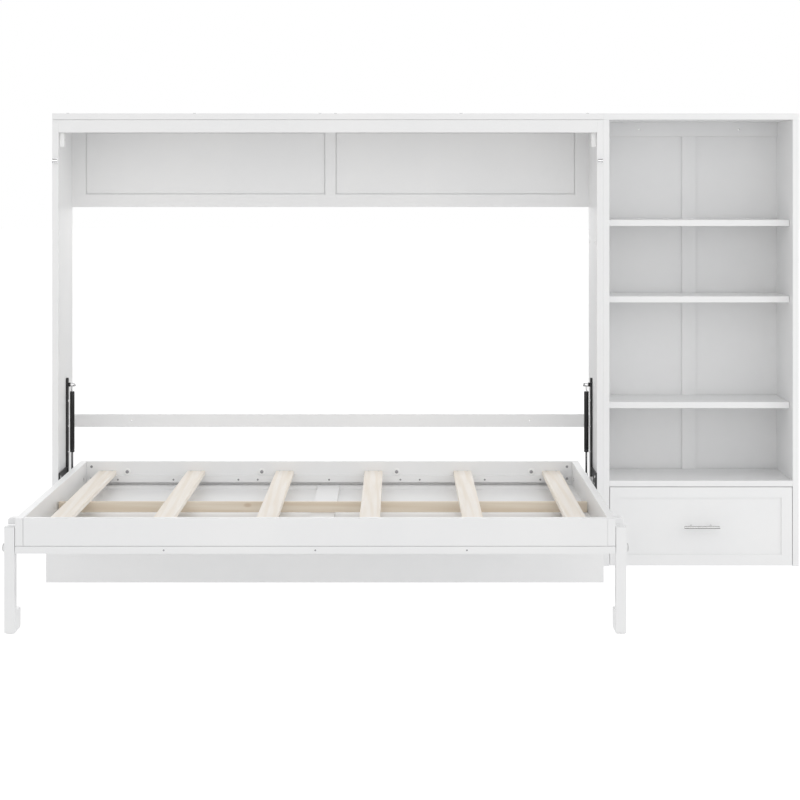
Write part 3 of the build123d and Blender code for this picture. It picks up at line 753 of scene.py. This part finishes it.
def upper_studs():
    """Threaded stud through the bracket with a chamfered hexagon nut on its inner end."""
    stud_r, nut_r, nut_h = 4.0, 8.0, 6.4
    chamfered = nut_r * 0.84
    bm = bmesh.new()
    for low, high in solids("gas_upper_studs"):
        spot, axis = inward(low, high)
        length = (high.x - low.x) / MM
        stud = [(0.0, 0.0), (0.0, 3.4), (-0.6, stud_r), (-length, stud_r), (-length, 0.0)]
        turned(bm, stud, spot, axis, 32)
        nut = [(0.0, stud_r), (0.0, chamfered), (-0.7, nut_r)]
        nut += [(0.7 - nut_h, nut_r), (-nut_h, chamfered), (-nut_h, stud_r)]
        turned(bm, nut, spot, axis, 6, ring=True, start=math.pi / 6)
    piece("gas_upper_studs_hex", bm, "zinc", "cabinet", "zinc_steel", "gas_upper_studs")


GLIDE_R = 8.0
GLIDE_DROP = 1.2
GLIDES_ALONG = (0.12, 0.88)


def leg_pads():
    """Pale moulded foot pad with two dark glides let into its underside."""
    for side in ("left", "right"):
        low, high = (Vector(c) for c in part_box(f"leg_pad_{side}"))
        bm = bmesh.new()
        pad_low = (low.x, low.y, low.z + GLIDE_DROP * MM)
        rounded_slab(bm, pad_low, tuple(high), corner=6.0, ease=0.8, axis=2)
        piece(
            f"leg_pad_moulded_{side}", bm, "white_plastic", f"leg_{side}", "white_plastic",
            f"leg_pad_{side}",
        )
        bm = bmesh.new()
        for along in GLIDES_ALONG:
            spot = Vector(((low.x + high.x) / 2, low.y + (high.y - low.y) * along, low.z))
            disc = [(0.0, 0.0), (0.0, 7.2), (0.6, GLIDE_R), (2.0, GLIDE_R), (2.0, 0.0)]
            turned(bm, disc, spot, (0, 0, 1), 32)
        piece(f"leg_glides_{side}", bm, "rubber", f"leg_{side}", "foot_rubber")


grooved_panels()
bracket_screws()
slat_screws()
rail_fasteners()
rail_washers()
cabinet_screws()
lock_barrels()
drawer_handle()
gas_springs()
upper_studs()
leg_pads()

# ---- floor, light, camera -----------------------------------------------------------
# The floor and the world each give soft light, mirrors and the camera a tone of their own.

FLOOR_HALF = 60.0
FLOOR_Z = -0.0005
FLOOR_GREY = 0.162
FLOOR_LIGHT = 0.74
FLOOR_SEEN = 0.96
FLOOR_MIRRORED = 0.90
DARK_MIRRORED = 0.08
DARK_FROM_Y = -0.20
DARK_BLUR = 0.04
FRONT_LIGHT = 0.98
BACK_LIGHT = 1.44
TOP_LIGHT = 0.39
SIDES_LIGHT = 0.30
MIRRORED_LIGHT = 1.8
LAMP_POWER = 45.0


def floor_material():
    """Pale paper floor that only its upper side shows, and that throws soft light up.

    Mirrors see it pale in front, and dark from the middle of the folded-out bed backwards.
    """
    mat = bpy.data.materials.new("studio_floor")
    mat.use_nodes = True
    tree = mat.node_tree
    tree.nodes.clear()

    def add(kind):
        return tree.nodes.new(kind)

    def glow(strength):
        node = add("ShaderNodeEmission")
        if isinstance(strength, bpy.types.NodeSocket):
            tree.links.new(strength, node.inputs["Strength"])
        else:
            node.inputs["Strength"].default_value = strength
        return node.outputs[0]

    def choose(factor, without, with_it):
        node = add("ShaderNodeMixShader")
        tree.links.new(factor, node.inputs["Fac"])
        tree.links.new(without, node.inputs[1])
        tree.links.new(with_it, node.inputs[2])
        return node.outputs[0]

    split = add("ShaderNodeSeparateXYZ")
    tree.links.new(add("ShaderNodeTexCoord").outputs["Object"], split.inputs[0])
    mirrored = add("ShaderNodeMapRange")
    tree.links.new(split.outputs["Y"], mirrored.inputs["Value"])
    for key, value in (
        ("From Min", DARK_FROM_Y - DARK_BLUR), ("From Max", DARK_FROM_Y + DARK_BLUR),
        ("To Min", FLOOR_MIRRORED), ("To Max", DARK_MIRRORED),
    ):
        mirrored.inputs[key].default_value = value

    path = add("ShaderNodeLightPath")
    shown = glow(FLOOR_LIGHT)
    shown = choose(path.outputs["Is Glossy Ray"], shown, glow(mirrored.outputs["Result"]))
    shown = choose(path.outputs["Is Camera Ray"], shown, glow(FLOOR_SEEN))
    paper = add("ShaderNodeBsdfDiffuse")
    paper.inputs["Color"].default_value = rgb(FLOOR_GREY, FLOOR_GREY, FLOOR_GREY)
    sheet = add("ShaderNodeAddShader")
    tree.links.new(paper.outputs[0], sheet.inputs[0])
    tree.links.new(shown, sheet.inputs[1])
    clear = add("ShaderNodeBsdfTransparent").outputs[0]
    below = add("ShaderNodeNewGeometry").outputs["Backfacing"]
    out = add("ShaderNodeOutputMaterial")
    tree.links.new(choose(below, sheet.outputs[0], clear), out.inputs["Surface"])
    return mat


def studio_floor():
    mesh = bpy.data.meshes.new("studio_floor")
    corners = [(-1, -1), (1, -1), (1, 1), (-1, 1)]
    mesh.from_pydata(
        [(x * FLOOR_HALF, y * FLOOR_HALF, FLOOR_Z) for x, y in corners], [], [(0, 1, 2, 3)]
    )
    floor = bpy.data.objects.new("studio_floor", mesh)
    scene.collection.objects.link(floor)
    dress(floor, floor_material())


def studio_world():
    """White to the camera, soft light from all round, and a dark overhead band in mirrors."""
    world = bpy.data.worlds.new("studio")
    scene.world = world
    world.use_nodes = True
    tree = world.node_tree
    tree.nodes.clear()
    split = tree.nodes.new("ShaderNodeSeparateXYZ")
    coords = tree.nodes.new("ShaderNodeTexCoord")
    tree.links.new(coords.outputs["Generated"], split.inputs[0])

    def backdrop(strength, axis=None, stops=()):
        """Background whose tone runs along one axis of the ray's direction, from -1 to 1."""
        node = tree.nodes.new("ShaderNodeBackground")
        node.inputs["Color"].default_value = rgb(1, 1, 1)
        node.inputs["Strength"].default_value = strength
        if axis:
            place = tree.nodes.new("ShaderNodeMapRange")
            place.inputs["From Min"].default_value = -1.0
            ramp = tree.nodes.new("ShaderNodeValToRGB")
            while len(ramp.color_ramp.elements) < len(stops):
                ramp.color_ramp.elements.new(0.5)
            for element, (spot, tone) in zip(ramp.color_ramp.elements, stops):
                element.position = spot
                element.color = rgb(tone, tone, tone)
            tree.links.new(split.outputs[axis], place.inputs["Value"])
            tree.links.new(place.outputs["Result"], ramp.inputs["Fac"])
            tree.links.new(ramp.outputs["Color"], node.inputs["Color"])
        return node.outputs[0]

    front_to_back = [(0.0, FRONT_LIGHT / BACK_LIGHT), (0.5, 0.0), (1.0, 1.0)]
    light = backdrop(BACK_LIGHT, "Y", front_to_back)
    overhead = backdrop(TOP_LIGHT, "Z", [(0.0, 0.0), (0.5, 0.0), (1.0, 1.0)])
    sides = backdrop(SIDES_LIGHT, "X", [(0.0, 1.0), (0.5, 0.0), (1.0, 1.0)])
    for part in (overhead, sides):
        total = tree.nodes.new("ShaderNodeAddShader")
        tree.links.new(light, total.inputs[0])
        tree.links.new(part, total.inputs[1])
        light = total.outputs[0]
    overhead_band = [(0.0, 0.3), (0.5, 1.0), (0.84, 1.0), (0.88, 0.05), (1.0, 0.04)]
    mirrored = backdrop(MIRRORED_LIGHT, "Z", overhead_band)
    seen = backdrop(1.0)
    path = tree.nodes.new("ShaderNodeLightPath")
    shown = light
    for ray, view in (("Is Glossy Ray", mirrored), ("Is Camera Ray", seen)):
        choice = tree.nodes.new("ShaderNodeMixShader")
        tree.links.new(path.outputs[ray], choice.inputs["Fac"])
        tree.links.new(shown, choice.inputs[1])
        tree.links.new(view, choice.inputs[2])
        shown = choice.outputs[0]
    out = tree.nodes.new("ShaderNodeOutputWorld")
    tree.links.new(shown, out.inputs["Surface"])
    world.cycles.sampling_method = "NONE"


def softbox(name, place, target, size, power):
    """A soft rectangular lamp aimed at a point."""
    lamp = bpy.data.lights.new(name, "AREA")
    lamp.shape = "RECTANGLE"
    lamp.size, lamp.size_y = size
    lamp.energy = power
    obj = bpy.data.objects.new(name, lamp)
    scene.collection.objects.link(obj)
    obj.location = place
    obj.rotation_euler = (Vector(target) - Vector(place)).to_track_quat("-Z", "Y").to_euler()


CAMERA_PLACE = (-0.108, -7.6805, 1.4776)
CAMERA_LENS = 94.635
CAMERA_SHIFT = (0.003125, -0.27)


def studio_camera():
    """Level camera in front of the bed, shifted down so that its upright lines stay upright."""
    camera = bpy.data.cameras.new("camera")
    camera.lens = CAMERA_LENS
    camera.sensor_width = 36.0
    camera.shift_x, camera.shift_y = CAMERA_SHIFT
    camera.clip_end = 200.0
    obj = bpy.data.objects.new("camera", camera)
    scene.collection.objects.link(obj)
    obj.location = CAMERA_PLACE
    obj.rotation_euler = (math.radians(90), 0, 0)
    scene.camera = obj


studio_floor()
studio_world()
softbox(
    "side_right", place=(5.5, -1.5, 2.2), target=(0.2, 0.0, 0.9), size=(3.0, 3.0), power=LAMP_POWER
)
studio_camera()
scene.view_settings.view_transform = "Standard"
